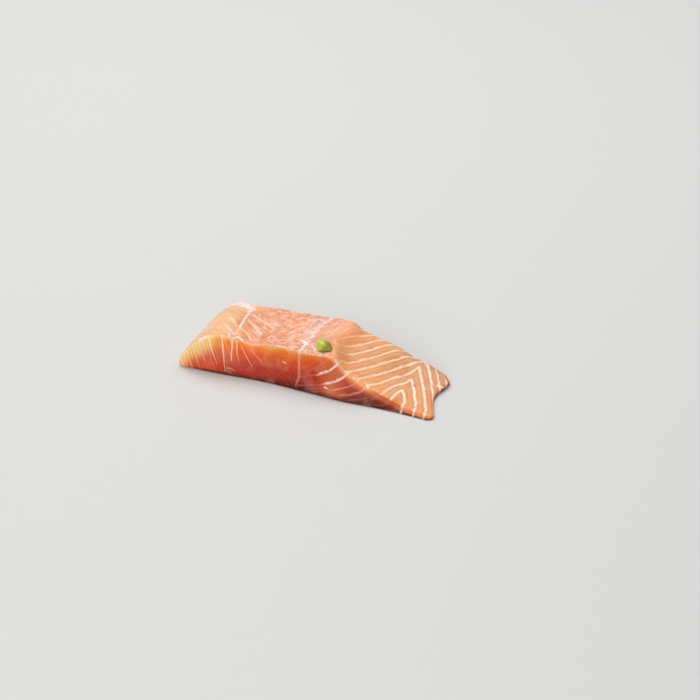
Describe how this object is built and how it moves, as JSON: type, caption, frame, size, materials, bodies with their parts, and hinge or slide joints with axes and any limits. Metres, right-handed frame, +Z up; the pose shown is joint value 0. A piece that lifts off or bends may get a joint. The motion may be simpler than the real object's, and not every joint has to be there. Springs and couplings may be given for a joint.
{
  "type": "raw salmon fillet",
  "caption": "Raw skinned salmon fillet portion: a thick loin sloping to a thin notched belly end, orange flesh with pale fat lines, and a small herb leaf on top.",
  "frame": {"origin": "middle of the fillet's bounding box, at the level of the underside it rests on", "axes": "+X runs from the back end to the thin belly end, +Y from the front cut to the rear cut, +Z up"},
  "size_m": [0.1672, 0.0478, 0.0286],
  "materials": {
    "salmon_flesh": "moist orange fish flesh with pale fat lines, translucent at the edges",
    "herb_leaf": "fresh green leaf, soft sheen, with a paler midrib"
  },
  "bodies": {
    "root": {"salmon_fillet": "salmon_flesh", "herb_leaf": "herb_leaf"}
  },
  "joints": []
}
